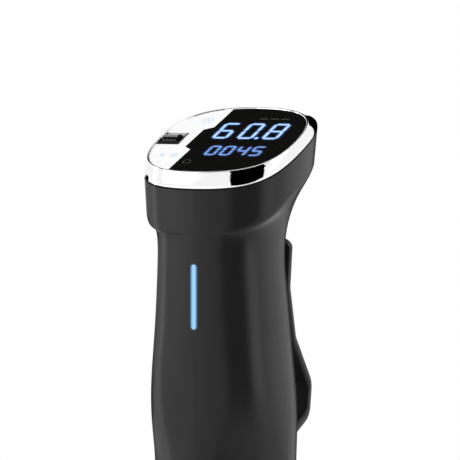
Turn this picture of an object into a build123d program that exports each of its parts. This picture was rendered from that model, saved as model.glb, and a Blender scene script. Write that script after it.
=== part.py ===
"""Sous vide circulator: a slim stick that clips to the wall of a pot, heats the water and stirs it.

Millimetres. The origin is the centre of the flat base, +Z is up, -Y is the front that the user faces
and +Y is the back, where the spring clip is. The head is laid out in its own plane, HEAD, whose local
X runs across the display, local Y up the display and local Z out of it.
"""

import os
from math import cos, radians, sin, tan

from build123d import *

# Fits and walls
FIT_GAP = 0.05          # between two fixed round pieces that sit in each other
RUN_GAP = 0.05          # radial clearance of a turning shaft
SEAM_GAP = 0.25         # between moulded pieces that meet at a seam
HOUSING_WALL = 2.5

# Wet end
TUBE_RADIUS = 30.0
TUBE_WALL = 1.0
CAP_HEIGHT = 30.0
CAP_WALL = 2.2
CAP_FLOOR = 3.0
CAP_LIP = 6.0
CAP_CHAMFER = 2.5
DRAIN_COUNT = 8
DRAIN_RADIUS = 16.0
DRAIN_LENGTH = 12.0
CAP_SLOT_COUNT = 20
CAP_SLOT_WIDTH = 4.0
CAP_SLOT_LOW = 8.0
CAP_SLOT_HIGH = 23.0
INTAKE_COUNT = 14
INTAKE_WIDTH = 3.5
INTAKE_LOW = 64.0
INTAKE_HIGH = 90.0
TUBE_TOP = 186.0
PLUG_DEPTH = 8.0
FLANGE_THICKNESS = 4.0
FLANGE_OVERLAP = 1.0
PLUG_GAP = 0.1
SEAL_SECTION = 2.0
SEAL_DEPTH = 1.5
SHAFT_SEAL_RADIUS = 7.0

# Grip
HOUSING_BOTTOM = 176.0
HOUSING_FLOOR = 3.0
COLLAR_STEP = 3.5
COLLAR_FLARE = 1.7
ROUND_FULLNESS = 0.5523
GRIP_FRONT_STEP = 5.0    # how far the grip's front stands out beyond the tube
GRIP_FRONT_FULLNESS = 0.77
GRIP_BACK_FULLNESS = 0.76
HEAD_FRONT_FULLNESS = 0.78
HEAD_BACK_FULLNESS = 0.76

# Sections of the grip: height, tilt, reach beyond the tube at the sides, in front and behind, and
# fullness in front and behind
GRIP_SECTIONS = (
    (216.0, 0, 5.0, GRIP_FRONT_STEP + 0.2, 4.4, 0.65, 0.62),
    (244.0, 0, 3.2, GRIP_FRONT_STEP, 1.8, 0.80, 0.72),
    (275.0, 0, 0.8, GRIP_FRONT_STEP, -2.2, GRIP_FRONT_FULLNESS, GRIP_BACK_FULLNESS),
    (298.0, 0, -0.7, GRIP_FRONT_STEP, -4.4, GRIP_FRONT_FULLNESS, GRIP_BACK_FULLNESS),
    (314.0, 3, -0.9, GRIP_FRONT_STEP, -4.0, GRIP_FRONT_FULLNESS, GRIP_BACK_FULLNESS),
    (326.0, 13, 1.2, GRIP_FRONT_STEP, 1.6, GRIP_FRONT_FULLNESS, GRIP_BACK_FULLNESS),
)

# Rear cover
COVER_PLANE_Y = 13.0
COVER_LOW = 192.0
COVER_HIGH = 312.0

# Head
PANEL_TILT = 24.0
PANEL_CENTRE_Y = 2.0
PANEL_CENTRE_Z = 364.0
PANEL_HALF_WIDTH = 38.0
PANEL_HALF_HEIGHT = 36.5
PANEL_THICKNESS = 2.0
PANEL_FULLNESS = 0.72
BEZEL_HEIGHT = 6.0
BEZEL_LIP = 0.4
BEZEL_RIM = 1.1
BEZEL_SHOULDER_RIM = 1.54
BEZEL_LEDGE = 4.5
BEZEL_SHOULDER = 1.2
BEZEL_LEDGE_THICKNESS = 2.0
GASKET_THICKNESS = 0.8
GASKET_INSET = 0.7
GASKET_WIDTH = 1.6
PANEL_GAP = 0.15
BAND_SIDE = 1.4
BAND_FRONT = 3.66
BAND_BACK = 12.0
SKIRT_DEPTH = 22.4
SKIRT_TAPER = 1.4
GLAND_RADIUS = 5.0
GLAND_FLANGE = 1.4
GLAND_FLANGE_THICKNESS = 2.0
GLAND_LENGTH = 4.5
CORD_HOLE_RADIUS = 3.2

# Display, touch panel and thumb roller
SPLIT_U = -15.1
SPLIT_LEAN = 3.4        # degrees, to the right at the top
TAB_DEPTH = 4.4
TAB_HALF_HEIGHT = 9.7
TAB_SLANT = 3.0
TAB_GAP = 0.1
ROLLER_RADIUS = 5.2
ROLLER_RISE = 1.4
ROLLER_V = 1.5          # the roller and the tab that points at it sit above the middle
ROLLER_LENGTH = 10.2
ROLLER_INSET = 0.7
ROLLER_GROOVES = 22
ROLLER_GROOVE_RADIUS = 0.35
ROLLER_SIDE_GAP = 0.4
ROLLER_END_GAP = 0.6
ENCODER_LENGTH = 8.0
ENCODER_HALF_HEIGHT = 5.5
ENCODER_SHAFT_RADIUS = 1.0
BOARD_DEPTH = 10.0
BOARD_THICKNESS = 1.2
BOARD_MARGIN = 7.5
MODULE_SIDE_MARGIN = 9.5
MODULE_END_MARGIN = 16.5
MODULE_SPLIT_MARGIN = 7.0
WINDOW_GAP = 0.4
TOUCH_RADIUS = 4.0
TOUCH_MARGIN = 14.5
TOUCH_V = 19.5
TRAY_DEPTH = 12.2
TRAY_THICKNESS = 1.5
TRAY_SIDE_MARGIN = 5.0
TRAY_END_MARGIN = 2.5
POST_RADIUS = 1.5
POST_U = 14.0
STANDOFF_RADIUS = 2.2
STANDOFF_U = 22.0
STANDOFF_V = 17.0

# Light bar
BAR_WIDTH = 3.0
BAR_LENGTH = 32.0
BAR_CENTRE_Z = 287.5
BAR_RISE = 0.1
BAR_FLANGE = 1.5
BAR_FLANGE_THICKNESS = 1.5
LIGHT_BOARD_MARGIN = 3.0

# Motor and its shaft
SHAFT_RADIUS = 2.5
SHAFT_BOTTOM = 10.0
SHAFT_CLEARANCE = 1.0   # around the shaft where it passes through a plate
MOTOR_MARGIN = 13.0
MOTOR_HEIGHT = 46.0
MOTOR_WALL = 1.2
MOTOR_FLOOR = 3.0
MOTOR_LID = 3.0
BEARING_RADIUS = 6.5
BEARING_HEIGHT = 4.0
BEARING_SEAT_WALL = 2.0
STATOR_THICKNESS = 5.45
ROTOR_LENGTH = 26.0
AIR_GAP = 0.4
FAN_MARGIN = 11.0
FAN_HEIGHT = 8.0
FAN_BLADES = 7
FAN_PITCH = 40.0
FAN_CLEARANCE = 2.0
HUB_RADIUS = 5.0
BLADE_THICKNESS = 1.4

# Pump, heater and sensors
COLUMN_RADIUS = 6.5
COLUMN_WALL = 1.5
COLUMN_BOTTOM = 46.0
BUSH_HEIGHT = 12.0
BUSH_FLANGE = 2.0
IMPELLER_MARGIN = 9.0
IMPELLER_BOTTOM = 13.0
IMPELLER_HEIGHT = 14.0
IMPELLER_BLADES = 6
IMPELLER_DISC = 1.6
PUMP_EYE_RADIUS = 13.0
PUMP_PLATE_THICKNESS = 1.5
HEATER_TUBE_RADIUS = 3.2
HEATER_MARGIN = 7.5
HEATER_BOTTOM = 50.0
HEATER_TOP_GAP = 2.0
TERMINAL_LENGTH = 9.0
NUT_RADIUS = 4.7
NUT_HEIGHT = 4.0
PROBE_RADIUS = 2.0
PROBE_MARGIN = 6.0
PROBE_BOTTOM = 58.0
ELECTRODE_RADIUS = 1.5
ELECTRODE_MARGIN = 6.8
ELECTRODE_Y = 7.5
ELECTRODE_BOTTOMS = (100.0, 140.0)
SENSOR_HEAD_HEIGHT = 3.0

# Power board
POWER_BOARD_MARGIN = 5.0
POWER_BOARD_THICKNESS = 1.6
POWER_BOARD_SIDE_MARGIN = 13.0
POWER_BOARD_HEIGHT = 70.0
COMPONENT_DEPTH = 6.5
CAPACITOR_RADIUS = 3.0

# Rear cover screws, as (x, z) pairs on one side
COVER_SCREWS = ((26.0, 206.0), (17.0, 300.0))
SCREW_RADIUS = 1.5
SCREW_HEAD_RADIUS = 2.6
SCREW_HEAD_HEIGHT = 1.6
SCREW_SEAT = 3.0
SCREW_LENGTH = 11.0
POST_WALL = 2.1

# Clip
PIVOT_STEP = 4.5
PIVOT_Z = 286.0
PIN_RADIUS = 2.0
EAR_RADIUS = 3.8
EAR_THICKNESS = 4.0
EAR_OUTER_X = 14.4
CLIP_WIDTH = 30.0
CLIP_THICKNESS = 4.5
CLIP_EDGE_RADIUS = 1.6
CLIP_CORNER_RADIUS = 8.0
CLIP_BEND_RADIUS = 8.0

# Bends of the clip: distance behind the tube and height
CLIP_BENDS = (
    (14.4, 313.5),
    (11.4, 288.0),
    (18.0, 262.0),
    (36.5, 238.0),
    (34.0, 222.0),
    (13.5, 212.0),
    (12.4, 194.0),
)
LUG_WIDTH = 5.0
LUG_GAP = 0.3
PAD_THICKNESS = 2.5
PAD_HEIGHT = 11.0
PAD_WIDTH = 22.0
REAR_PAD_THICKNESS = 1.2
RETAINER_RADIUS = 3.4
RETAINER_THICKNESS = 0.8
SPRING_WIRE_RADIUS = 0.6
SPRING_GAP = 0.5
SPRING_TURNS = 5
SPRING_PITCH = 1.6

# Values that follow from those above
TILT_COS = cos(radians(PANEL_TILT))
TILT_TAN = tan(radians(PANEL_TILT))
TUBE_BORE = TUBE_RADIUS - TUBE_WALL
COLLAR_RADIUS = TUBE_RADIUS + COLLAR_STEP
GRIP_FRONT = -TUBE_RADIUS - GRIP_FRONT_STEP
PIVOT_Y = TUBE_RADIUS + PIVOT_STEP
CLIP_LINE = [(TUBE_RADIUS + y, z) for y, z in CLIP_BENDS]
HEAD_HALF_WIDTH = PANEL_HALF_WIDTH + BAND_SIDE
HEAD_FRONT = PANEL_CENTRE_Y - PANEL_HALF_HEIGHT * TILT_COS - BAND_FRONT
HEAD_BACK = PANEL_CENTRE_Y + PANEL_HALF_HEIGHT * TILT_COS + BAND_BACK
BAR_FRONT = GRIP_FRONT - BAR_RISE
MOTOR_RADIUS = TUBE_RADIUS - MOTOR_MARGIN
ROTOR_RADIUS = MOTOR_RADIUS - MOTOR_WALL - STATOR_THICKNESS - AIR_GAP - FIT_GAP
FAN_RADIUS = TUBE_RADIUS - FAN_MARGIN
IMPELLER_RADIUS = TUBE_RADIUS - IMPELLER_MARGIN
HEATER_PITCH_RADIUS = TUBE_RADIUS - HEATER_MARGIN
PROBE_X = PROBE_MARGIN - TUBE_RADIUS
ELECTRODE_X = ELECTRODE_MARGIN - TUBE_RADIUS
POWER_BOARD_Y = POWER_BOARD_MARGIN - TUBE_RADIUS
POWER_BOARD_HALF_WIDTH = TUBE_RADIUS - POWER_BOARD_SIDE_MARGIN
FLANGE_TOP = TUBE_TOP + FLANGE_THICKNESS
FLANGE_RADIUS = TUBE_RADIUS + FLANGE_OVERLAP
PLUG_BOTTOM = TUBE_TOP - PLUG_DEPTH
PLUG_RADIUS = TUBE_BORE - PLUG_GAP
LIP_RADIUS = TUBE_BORE - PLUG_GAP
LIP_TOP = CAP_HEIGHT + CAP_LIP
SEAL_INNER = PLUG_RADIUS - SEAL_DEPTH
MOTOR_TOP = FLANGE_TOP + MOTOR_HEIGHT
LID_TOP = MOTOR_TOP + MOTOR_LID
FAN_BOTTOM = LID_TOP + FAN_CLEARANCE
SHAFT_TOP = FAN_BOTTOM + FAN_HEIGHT + 1.0
BORE_RADIUS = SHAFT_RADIUS + RUN_GAP
SHAFT_HOLE_RADIUS = SHAFT_RADIUS + SHAFT_CLEARANCE
BEZEL_OPENING_WIDTH = PANEL_HALF_WIDTH + PANEL_GAP
BEZEL_OPENING_HEIGHT = PANEL_HALF_HEIGHT + PANEL_GAP
LEDGE_BOTTOM = PANEL_THICKNESS + BEZEL_LEDGE_THICKNESS
ROLLER_AXIS_N = ROLLER_RISE - ROLLER_RADIUS
ROLLER_LEFT_U = ROLLER_INSET + HOUSING_WALL - HEAD_HALF_WIDTH
ROLLER_RIGHT_U = ROLLER_LEFT_U + ROLLER_LENGTH
SLOT_RIGHT_U = ROLLER_RIGHT_U + ROLLER_END_GAP
SLOT_HALF = ROLLER_RADIUS + ROLLER_SIDE_GAP
POST_V = PANEL_HALF_HEIGHT - BEZEL_LEDGE + POST_RADIUS
COLUMN_BORE = COLUMN_RADIUS - COLUMN_WALL
GLAND_Z = (
    PANEL_CENTRE_Z
    + (HEAD_BACK - PANEL_CENTRE_Y) * TILT_TAN
    - (SKIRT_DEPTH + BEZEL_HEIGHT + GASKET_THICKNESS) / 2 / TILT_COS
)
HEAD_FULLNESS = (HEAD_FRONT_FULLNESS, HEAD_BACK_FULLNESS)
HEAD_PLAN = (HEAD_HALF_WIDTH, HEAD_FRONT, HEAD_BACK, *HEAD_FULLNESS)
FLARE_RADIUS = COLLAR_RADIUS + COLLAR_FLARE
LUG_OUTER_X = EAR_OUTER_X - EAR_THICKNESS - LUG_GAP
LUG_INNER_X = LUG_OUTER_X - LUG_WIDTH

HEAD = Plane(
    origin=(0, PANEL_CENTRE_Y, PANEL_CENTRE_Z),
    x_dir=(1, 0, 0),
    z_dir=(0, -sin(radians(PANEL_TILT)), TILT_COS),
)


# Shared shapes


def oval(half_width, front, back, middle, front_fullness, back_fullness):
    """A rounded outline of four Bezier quarters. Fullness 0.55 is an ellipse and 1 a rectangle."""
    right, left = (half_width, middle), (-half_width, middle)
    quarters = []
    for start, end, tip, fullness in (
        (right, left, back, back_fullness),
        (left, right, front, front_fullness),
    ):
        pull = middle + fullness * (tip - middle)
        quarters.append(Bezier(start, (start[0], pull), (fullness * start[0], tip), (0, tip)))
        quarters.append(Bezier((0, tip), (fullness * end[0], tip), (end[0], pull), end))
    return Face(Wire(quarters))


def tilted_section(height, tilt, half_width, front, back, front_fullness, back_fullness, inset=0.0):
    """An oval of the housing, given in plan, on a plane that crosses the tube's axis at height."""
    stretch = 1 / cos(radians(tilt))
    plane = Plane(
        origin=(0, 0, height),
        x_dir=(1, 0, 0),
        z_dir=(0, -sin(radians(tilt)), cos(radians(tilt))),
    )
    low, high = (front + inset) * stretch, (back - inset) * stretch
    middle = (low + high) / 2
    return plane * oval(half_width - inset, low, high, middle, front_fullness, back_fullness)


def head_oval(half_width, half_height):
    """The panel's outline, scaled to the given half sizes, in the head's own plane."""
    return oval(half_width, -half_height, half_height, 0, PANEL_FULLNESS, PANEL_FULLNESS)


def head_slab(half_width, half_height, low, high):
    """A plate with the panel's outline between two levels of the head's plane."""
    return HEAD * Pos(0, 0, low) * extrude(head_oval(half_width, half_height), high - low)


def head_box(u, v, n):
    """A block in the head's plane, from (low, high) pairs."""
    return HEAD * Pos((u[0] + u[1]) / 2, (v[0] + v[1]) / 2, (n[0] + n[1]) / 2) * Box(
        u[1] - u[0], v[1] - v[0], n[1] - n[0]
    )


def head_post(u, v, radius, low, high):
    """A round post that stands out of the head's plane."""
    return HEAD * Pos(u, v, (low + high) / 2) * Cylinder(radius, high - low)


def upright(radius, low, high, x=0.0, y=0.0):
    """A vertical cylinder between two heights."""
    return Pos(x, y, (low + high) / 2) * Cylinder(radius, high - low)


def crosswise(radius, left, right, y, z):
    """A cylinder along X."""
    return Pos((left + right) / 2, y, z) * Rot(0, 90, 0) * Cylinder(radius, right - left)


def plane_height(depth):
    """Height where the plane at this depth below the panel crosses the tube's axis."""
    return PANEL_CENTRE_Z - PANEL_CENTRE_Y * TILT_TAN - depth / TILT_COS


# Housing


def housing_body(inset=0.0, low=HOUSING_BOTTOM, top_depth=BEZEL_HEIGHT + GASKET_THICKNESS):
    """The outer form of the grip and head, or its cavity when inset by the wall."""
    taper = SKIRT_TAPER
    skirt_plan = (HEAD_HALF_WIDTH - taper, HEAD_FRONT, HEAD_BACK - taper, *HEAD_FULLNESS)
    grip = [
        (low, 0, COLLAR_RADIUS, -COLLAR_RADIUS, COLLAR_RADIUS, ROUND_FULLNESS, ROUND_FULLNESS),
        (HOUSING_BOTTOM + 16, 0, FLARE_RADIUS, -FLARE_RADIUS, FLARE_RADIUS, 0.57, 0.56),
    ]
    for height, tilt, side, front, back, *fullness in GRIP_SECTIONS:
        plan = (TUBE_RADIUS + side, -TUBE_RADIUS - front, TUBE_RADIUS + back, *fullness)
        grip.append((height, tilt, *plan))
    grip.append((plane_height(SKIRT_DEPTH), PANEL_TILT, *skirt_plan))
    top = (plane_height(top_depth), PANEL_TILT, *HEAD_PLAN)
    flared = loft([tilted_section(*station, inset) for station in grip])
    skirt = loft([tilted_section(*station, inset) for station in (grip[-1], top)], ruled=True)
    return flared + skirt


def cover_zone(gap):
    """The block of space behind the grip that the rear cover takes out of the housing."""
    depth = HEAD_BACK - COVER_PLANE_Y
    return Pos(0, COVER_PLANE_Y + gap + depth / 2, (COVER_LOW + COVER_HIGH) / 2) * Box(
        2 * HEAD_HALF_WIDTH, depth, COVER_HIGH - COVER_LOW - 2 * gap
    )


def screw_block(outer, x, z, y_low, y_high):
    """A corner block that holds one cover screw, from beside the screw out to the housing's skin."""
    half = SCREW_HEAD_RADIUS + POST_WALL / 2
    side = 1 if x > 0 else -1
    width = HEAD_HALF_WIDTH - abs(x) + half
    middle = side * (abs(x) - half + width / 2)
    return outer & (Pos(middle, (y_low + y_high) / 2, z) * Box(width, y_high - y_low, 2 * half))


def along_y(radius, low, high, x, z):
    """A cylinder along Y between two depths."""
    return Pos(x, (low + high) / 2, z) * Rot(90, 0, 0) * Cylinder(radius, high - low)


def cover_screw_places():
    """The (x, z) places of the cover's screws, on both sides."""
    return [(side * x, z) for side in (-1, 1) for x, z in COVER_SCREWS]


def hinge_ear(left, right):
    """One ear for the clip's pin, standing out from the back of the housing."""
    reach = PIVOT_Y - COVER_PLANE_Y
    block = Pos((left + right) / 2, PIVOT_Y - reach / 2, PIVOT_Z) * Box(
        right - left, reach, 2 * EAR_RADIUS
    )
    return block + crosswise(EAR_RADIUS, left, right, PIVOT_Y, PIVOT_Z)


def bar_slot(margin, front, back):
    """The light bar's rounded outline between two depths."""
    outline = SlotOverall(BAR_LENGTH + 2 * margin, BAR_WIDTH + 2 * margin, rotation=90)
    return Pos(0, back, BAR_CENTRE_Z) * Rot(90, 0, 0) * extrude(outline, back - front)


def housing_pieces():
    """The grip housing, its rear cover, and the soft pad on the cover."""
    outer = housing_body()
    cavity = housing_body(HOUSING_WALL, HOUSING_BOTTOM + HOUSING_FLOOR, 0.0)
    shell = outer - cavity - upright(TUBE_RADIUS + SEAM_GAP, 0, TUBE_TOP)
    main = shell - cover_zone(0)
    main -= bar_slot(FIT_GAP, HEAD_FRONT - 5, BAR_FRONT + 12)
    main -= along_y(GLAND_RADIUS + FIT_GAP, HEAD_BACK - 12, HEAD_BACK + 12, 0, GLAND_Z)
    cover = shell & cover_zone(SEAM_GAP)
    seat = COVER_PLANE_Y + SCREW_SEAT
    for x, z in cover_screw_places():
        main += screw_block(outer, x, z, COVER_PLANE_Y - SCREW_LENGTH, COVER_PLANE_Y)
        cover += screw_block(outer, x, z, COVER_PLANE_Y + SEAM_GAP, HEAD_BACK)
    for x, z in cover_screw_places():
        main -= along_y(SCREW_RADIUS + FIT_GAP, seat - SCREW_LENGTH - FIT_GAP, seat, x, z)
        cover -= along_y(SCREW_RADIUS + FIT_GAP, COVER_PLANE_Y, seat, x, z)
        cover -= along_y(SCREW_HEAD_RADIUS + FIT_GAP, seat, HEAD_BACK, x, z)
    inner_x = EAR_OUTER_X - EAR_THICKNESS
    ears = hinge_ear(inner_x, EAR_OUTER_X) + hinge_ear(-EAR_OUTER_X, -inner_x)
    cover += ears - cavity
    cover -= crosswise(PIN_RADIUS + FIT_GAP, -EAR_OUTER_X - 1, EAR_OUTER_X + 1, PIVOT_Y, PIVOT_Z)
    pad_zone = Pos(0, HEAD_BACK, CLIP_LINE[-1][1] + PAD_HEIGHT / 2 + 2) * Box(
        PAD_WIDTH, 2 * (HEAD_BACK - COVER_PLANE_Y), PAD_HEIGHT
    )
    pad = (housing_body(-REAR_PAD_THICKNESS) & pad_zone) - outer
    return main, cover, pad


def cover_screws():
    """The four screws that hold the rear cover."""
    seat = COVER_PLANE_Y + SCREW_SEAT
    screws = []
    for x, z in cover_screw_places():
        shank = along_y(SCREW_RADIUS, seat - SCREW_LENGTH, seat, x, z)
        top = along_y(SCREW_HEAD_RADIUS, seat, seat + SCREW_HEAD_HEIGHT, x, z)
        screws.append(shank + top)
    return Compound(children=[screw.solid() for screw in screws])


def cord_gland():
    """The flanged bush at the back of the head where the supply cord enters."""
    back = HEAD_BACK + GLAND_FLANGE_THICKNESS
    bush = along_y(GLAND_RADIUS, HEAD_BACK - GLAND_LENGTH, HEAD_BACK, 0, GLAND_Z)
    flange = along_y(GLAND_RADIUS + GLAND_FLANGE, HEAD_BACK + FIT_GAP, back, 0, GLAND_Z)
    neck = along_y(GLAND_RADIUS, HEAD_BACK - FIT_GAP, back, 0, GLAND_Z)
    bore = along_y(CORD_HOLE_RADIUS, HEAD_BACK - GLAND_LENGTH - 1, back + 1, 0, GLAND_Z)
    return bush + flange + neck - bore


def light_guide():
    """The light bar: a clear strip in the front wall with a flange behind it."""
    flange_front = BAR_FRONT + HOUSING_WALL + 2 * SEAM_GAP
    flange_back = flange_front + BAR_FLANGE_THICKNESS
    return bar_slot(0, BAR_FRONT, flange_back) + bar_slot(BAR_FLANGE, flange_front, flange_back)


def light_board():
    """The small circuit board that lights the bar from behind."""
    front = BAR_FRONT + HOUSING_WALL + 2 * SEAM_GAP + BAR_FLANGE_THICKNESS
    return Pos(0, front + BOARD_THICKNESS / 2, BAR_CENTRE_Z) * Box(
        BAR_WIDTH + 2 * LIGHT_BOARD_MARGIN, BOARD_THICKNESS, BAR_LENGTH + 2 * LIGHT_BOARD_MARGIN
    )


# Head


def roller_slot(low, high):
    """The opening for the thumb roller, which runs out to the panel's left edge."""
    span = (ROLLER_V - SLOT_HALF, ROLLER_V + SLOT_HALF)
    return head_box((-BEZEL_OPENING_WIDTH, SLOT_RIGHT_U), span, (low, high))


def chrome_bezel():
    """The bright band around the panel, with the ledge that carries the panel."""
    base = tilted_section(plane_height(BEZEL_HEIGHT), PANEL_TILT, *HEAD_PLAN)
    shoulder = HEAD * Pos(0, 0, -BEZEL_SHOULDER) * head_oval(
        PANEL_HALF_WIDTH + BEZEL_SHOULDER_RIM, PANEL_HALF_HEIGHT + BEZEL_SHOULDER_RIM
    )
    lip = HEAD * Pos(0, 0, BEZEL_LIP) * head_oval(
        PANEL_HALF_WIDTH + BEZEL_RIM, PANEL_HALF_HEIGHT + BEZEL_RIM
    )
    band = loft([base, shoulder, lip], ruled=True)
    band -= head_slab(BEZEL_OPENING_WIDTH, BEZEL_OPENING_HEIGHT, -PANEL_THICKNESS, BEZEL_HEIGHT)
    band -= head_slab(
        PANEL_HALF_WIDTH - BEZEL_LEDGE, PANEL_HALF_HEIGHT - BEZEL_LEDGE, -2 * BEZEL_HEIGHT, 0
    )
    band -= head_slab(PANEL_HALF_WIDTH, PANEL_HALF_HEIGHT, -2 * BEZEL_HEIGHT, -LEDGE_BOTTOM)
    return band - roller_slot(-2 * BEZEL_HEIGHT, 0)


def bezel_gasket():
    """The dark seal between the band and the housing's rim."""
    depth = BEZEL_HEIGHT + GASKET_THICKNESS
    level = (plane_height(depth), PANEL_TILT, *HEAD_PLAN)
    outside = tilted_section(*level, GASKET_INSET)
    inside = tilted_section(*level, GASKET_INSET + GASKET_WIDTH)
    return extrude(outside, GASKET_THICKNESS) - extrude(inside, GASKET_THICKNESS)


def window_zone(gap):
    """The part of the panel taken by the black glass, grown by gap to the left."""
    reach = 2 * PANEL_HALF_WIDTH
    edge = SPLIT_U - gap
    tab = edge - TAB_DEPTH
    low = ROLLER_V - TAB_HALF_HEIGHT - gap
    high = ROLLER_V + TAB_HALF_HEIGHT + gap
    lean = tan(radians(SPLIT_LEAN))
    outline = Polyline(
        (reach, -reach),
        (edge - reach * lean, -reach),
        (edge + (low - TAB_SLANT) * lean, low - TAB_SLANT),
        (tab + low * lean, low),
        (tab + high * lean, high),
        (edge + (high + TAB_SLANT) * lean, high + TAB_SLANT),
        (edge + reach * lean, reach),
        (reach, reach),
        close=True,
    )
    return HEAD * Pos(0, 0, -BEZEL_HEIGHT) * extrude(make_face(outline), 2 * BEZEL_HEIGHT)


def panel_pieces():
    """The black glass window and the white touch panel beside it."""
    panel = head_slab(PANEL_HALF_WIDTH, PANEL_HALF_HEIGHT, -PANEL_THICKNESS, 0)
    window = panel & window_zone(0)
    control = panel - window_zone(TAB_GAP) - roller_slot(-BEZEL_HEIGHT, BEZEL_HEIGHT)
    return window, control


def led_module():
    """The block of light segments behind the black glass."""
    return head_box(
        (SPLIT_U + MODULE_SPLIT_MARGIN, PANEL_HALF_WIDTH - MODULE_SIDE_MARGIN),
        (MODULE_END_MARGIN - PANEL_HALF_HEIGHT, PANEL_HALF_HEIGHT - MODULE_END_MARGIN),
        (-BOARD_DEPTH, -PANEL_THICKNESS - WINDOW_GAP),
    )


def display_board():
    """The circuit board under the panel."""
    return head_slab(
        PANEL_HALF_WIDTH - BOARD_MARGIN,
        PANEL_HALF_HEIGHT - BOARD_MARGIN,
        -BOARD_DEPTH - BOARD_THICKNESS,
        -BOARD_DEPTH,
    )


def head_tray():
    """The tray that carries the board and hangs on four posts under the band's ledge."""
    bottom = -TRAY_DEPTH - TRAY_THICKNESS
    tray = head_slab(
        PANEL_HALF_WIDTH - TRAY_SIDE_MARGIN, PANEL_HALF_HEIGHT - TRAY_END_MARGIN, bottom, -TRAY_DEPTH
    )
    for side in (-1, 1):
        for end in (-1, 1):
            tray += head_post(side * POST_U, end * POST_V, POST_RADIUS, bottom, -LEDGE_BOTTOM)
            tray += head_post(
                side * STANDOFF_U, end * STANDOFF_V, STANDOFF_RADIUS, bottom, -BOARD_DEPTH - BOARD_THICKNESS
            )
    return tray


def touch_pads():
    """The two sensing pads that press up against the touch panel."""
    u = TOUCH_MARGIN - PANEL_HALF_WIDTH
    pads = [head_post(u, v, TOUCH_RADIUS, -BOARD_DEPTH, -PANEL_THICKNESS) for v in (-TOUCH_V, TOUCH_V)]
    return Compound(children=[pad.solid() for pad in pads])


def along_head(radius, left, right, n):
    """A cylinder on the roller's line across the head, at level n of its plane."""
    return HEAD * Pos((left + right) / 2, ROLLER_V, n) * Rot(0, 90, 0) * Cylinder(radius, right - left)


def scroll_roller():
    """The grooved thumb roller at the left edge of the panel."""
    roller = along_head(ROLLER_RADIUS, ROLLER_LEFT_U, ROLLER_RIGHT_U, ROLLER_AXIS_N)
    groove = along_head(ROLLER_GROOVE_RADIUS, ROLLER_LEFT_U - 1, ROLLER_RIGHT_U + 1, ROLLER_AXIS_N)
    grooves = []
    for step in range(ROLLER_GROOVES):
        angle = radians(360 * step / ROLLER_GROOVES)
        shift = HEAD.y_dir * (ROLLER_RADIUS * cos(angle)) + HEAD.z_dir * (ROLLER_RADIUS * sin(angle))
        grooves.append(Pos(shift) * groove)
    bore = along_head(
        ENCODER_SHAFT_RADIUS + FIT_GAP, ROLLER_LEFT_U - 1, ROLLER_RIGHT_U + 1, ROLLER_AXIS_N
    )
    return roller - grooves - bore


def encoder_shaft():
    """The spindle that the roller sits on."""
    return along_head(
        ENCODER_SHAFT_RADIUS,
        ROLLER_LEFT_U + ROLLER_INSET,
        SLOT_RIGHT_U + ENCODER_LENGTH - ROLLER_INSET,
        ROLLER_AXIS_N,
    )


def encoder_body():
    """The encoder that reads the roller's turning, standing on the board."""
    body = head_box(
        (SLOT_RIGHT_U, SLOT_RIGHT_U + ENCODER_LENGTH),
        (ROLLER_V - ENCODER_HALF_HEIGHT, ROLLER_V + ENCODER_HALF_HEIGHT),
        (-BOARD_DEPTH, -PANEL_THICKNESS - PANEL_GAP),
    )
    return body - along_head(
        ENCODER_SHAFT_RADIUS + RUN_GAP, SLOT_RIGHT_U - 1, SLOT_RIGHT_U + ENCODER_LENGTH + 1, ROLLER_AXIS_N
    )


# Wet end


def ring(outer, inner, low, high):
    """A plain ring about the tube's axis."""
    return upright(outer, low, high) - upright(inner, low, high)


def around(count, shape, start=0.0):
    """Copies of a shape at equal angles about the tube's axis."""
    return [Rot(0, 0, start + 360 * step / count) * shape for step in range(count)]


def wall_slot(width, low, high):
    """An upright rounded slot through the wall on the +X side."""
    outline = SlotOverall(high - low, width, rotation=90)
    return Pos(0, 0, (low + high) / 2) * Rot(0, 0, 90) * Rot(90, 0, 0) * extrude(outline, 2 * TUBE_RADIUS)


def base_cap():
    """The foot of the stick: pump outlet slots at the side, drain slots below, a lip up into the tube."""
    body = upright(TUBE_RADIUS, 0, CAP_HEIGHT)
    body = chamfer(body.faces().sort_by(Axis.Z)[0].edges(), CAP_CHAMFER)
    body += upright(LIP_RADIUS, CAP_HEIGHT, LIP_TOP)
    body -= upright(TUBE_RADIUS - CAP_WALL, CAP_FLOOR, CAP_HEIGHT)
    body -= upright(LIP_RADIUS - CAP_WALL, CAP_FLOOR, LIP_TOP)
    body -= around(CAP_SLOT_COUNT, wall_slot(CAP_SLOT_WIDTH, CAP_SLOT_LOW, CAP_SLOT_HIGH))
    drain = Pos(DRAIN_RADIUS, 0, 0) * extrude(SlotOverall(DRAIN_LENGTH, CAP_SLOT_WIDTH), CAP_FLOOR)
    return body - around(DRAIN_COUNT, drain)


def steel_sleeve():
    """The brushed steel tube around the heater, with a band of intake slots."""
    tube = ring(TUBE_RADIUS, TUBE_BORE, CAP_HEIGHT, TUBE_TOP)
    return tube - around(INTAKE_COUNT, wall_slot(INTAKE_WIDTH, INTAKE_LOW, INTAKE_HIGH))


def flow_plate():
    """The plate with the pump's eye, which rests on the cap's lip."""
    return ring(LIP_RADIUS, PUMP_EYE_RADIUS, LIP_TOP, LIP_TOP + PUMP_PLATE_THICKNESS)


def heater_places():
    """The four (x, y) places of the heater's straight runs."""
    half = HEATER_PITCH_RADIUS * cos(radians(45))
    return [(half, half), (-half, half), (-half, -half), (half, -half)]


def sensor_places():
    """The (x, y, radius) places of the temperature probe and the two level electrodes."""
    return [
        (PROBE_X, 0.0, PROBE_RADIUS),
        (ELECTRODE_X, ELECTRODE_Y, ELECTRODE_RADIUS),
        (ELECTRODE_X, -ELECTRODE_Y, ELECTRODE_RADIUS),
    ]


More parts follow.
